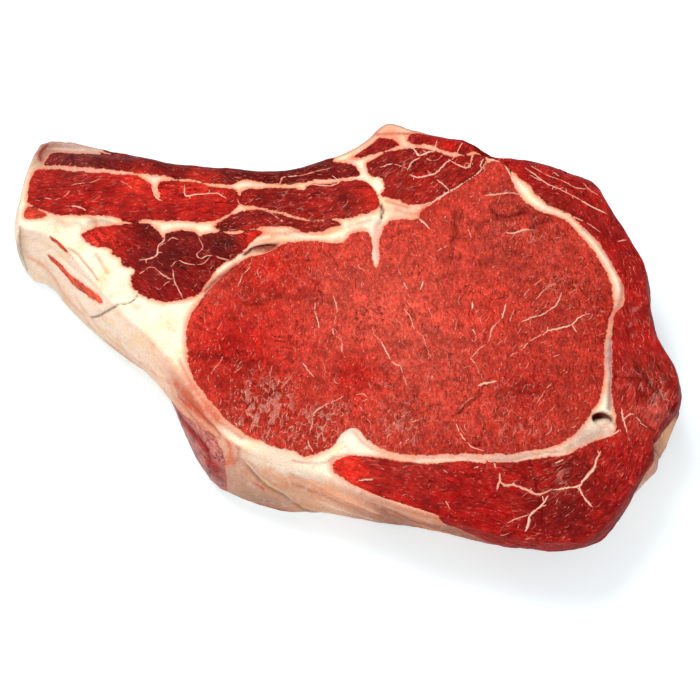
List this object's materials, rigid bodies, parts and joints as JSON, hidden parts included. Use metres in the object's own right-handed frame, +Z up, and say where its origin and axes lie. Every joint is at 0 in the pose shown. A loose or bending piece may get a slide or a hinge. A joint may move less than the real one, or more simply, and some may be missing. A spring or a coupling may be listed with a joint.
{
  "type": "raw ribeye steak",
  "caption": "Thick raw beef rib steak lying on its cut face: large round eye muscle, darker cap, striped rib tail and a rim of fat, in one solid piece.",
  "frame": {"origin": "middle of the footprint, on the surface that the lower cut face rests on", "axes": "+X along the long side from the rib tail to the cap, +Y away from the viewer towards the concave rib edge, +Z up through the thickness"},
  "size_m": [0.2568, 0.1784, 0.0392],
  "materials": {
    "meat": "satin"
  },
  "bodies": {
    "root": {"steak": "meat"}
  },
  "joints": []
}
